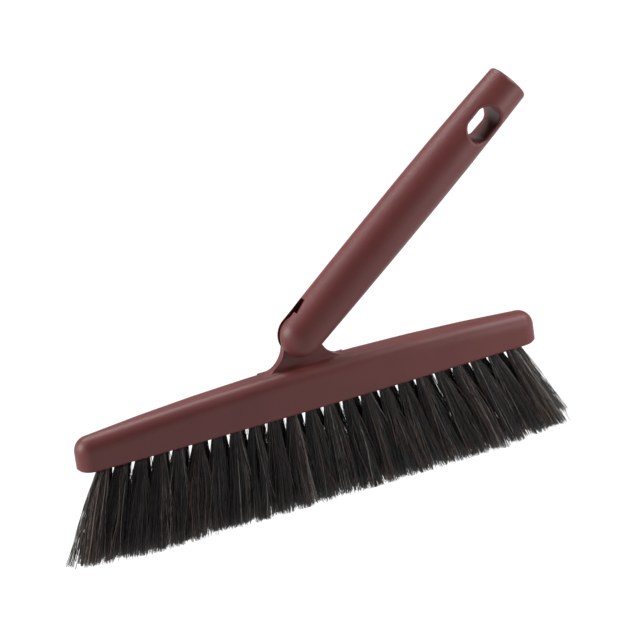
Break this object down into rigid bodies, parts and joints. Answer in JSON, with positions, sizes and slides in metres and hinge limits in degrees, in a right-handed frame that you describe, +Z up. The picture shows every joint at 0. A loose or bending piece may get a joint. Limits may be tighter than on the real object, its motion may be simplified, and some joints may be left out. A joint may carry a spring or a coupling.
{
  "type": "hand broom",
  "caption": "Hand broom with a long slim moulded head, staggered rows of dark horsehair tufts, and a round handle with a hang hole that swings on a pivot over the head's middle.",
  "frame": {"origin": "centre of the bristles' box at the level of their trimmed tips, which stand on the floor", "axes": "+X along the head, towards the side that the handle leans to; +Y to the rear of the head, so the front looks along -Y; +Z up"},
  "size_m": [0.3332, 0.0288, 0.2305],
  "materials": {
    "moulded_polypropylene": "satin, finely textured",
    "horsehair": "glossy black hair",
    "drawn_steel": "plain drawn",
    "galvanised_wire": "galvanised"
  },
  "bodies": {
    "head": {"head_block": "moulded_polypropylene", "tuft_anchors": "galvanised_wire", "tuft_front_01": "horsehair", "tuft_front_02": "horsehair", "tuft_front_03": "horsehair", "tuft_front_04": "horsehair", "tuft_front_05": "horsehair", "tuft_front_06": "horsehair", "tuft_front_07": "horsehair", "tuft_front_08": "horsehair", "tuft_front_09": "horsehair", "tuft_front_10": "horsehair", "tuft_front_11": "horsehair", "tuft_front_12": "horsehair", "tuft_front_13": "horsehair", "tuft_front_14": "horsehair", "tuft_front_15": "horsehair", "tuft_front_16": "horsehair", "tuft_front_17": "horsehair", "tuft_front_18": "horsehair", "tuft_front_19": "horsehair", "tuft_front_20": "horsehair", "tuft_front_21": "horsehair", "tuft_front_22": "horsehair", "tuft_front_23": "horsehair", "tuft_rear_01": "horsehair", "tuft_rear_02": "horsehair", "tuft_rear_03": "horsehair", "tuft_rear_04": "horsehair", "tuft_rear_05": "horsehair", "tuft_rear_06": "horsehair", "tuft_rear_07": "horsehair", "tuft_rear_08": "horsehair", "tuft_rear_09": "horsehair", "tuft_rear_10": "horsehair", "tuft_rear_11": "horsehair", "tuft_rear_12": "horsehair", "tuft_rear_13": "horsehair", "tuft_rear_14": "horsehair", "tuft_rear_15": "horsehair", "tuft_rear_16": "horsehair", "tuft_rear_17": "horsehair", "tuft_rear_18": "horsehair", "tuft_rear_19": "horsehair", "tuft_rear_20": "horsehair", "tuft_rear_21": "horsehair", "tuft_rear_22": "horsehair", "tuft_rear_23": "horsehair"},
    "handle": {"handle": "moulded_polypropylene", "pivot_pin": "drawn_steel"}
  },
  "joints": [
    {"name": "handle_pivot", "type": "hinge", "parent": "head", "child": "handle", "pos_m": [0, 0, 0.102], "axis": [0, -1, 0], "range_deg": [-37.3, 142.7]}
  ]
}
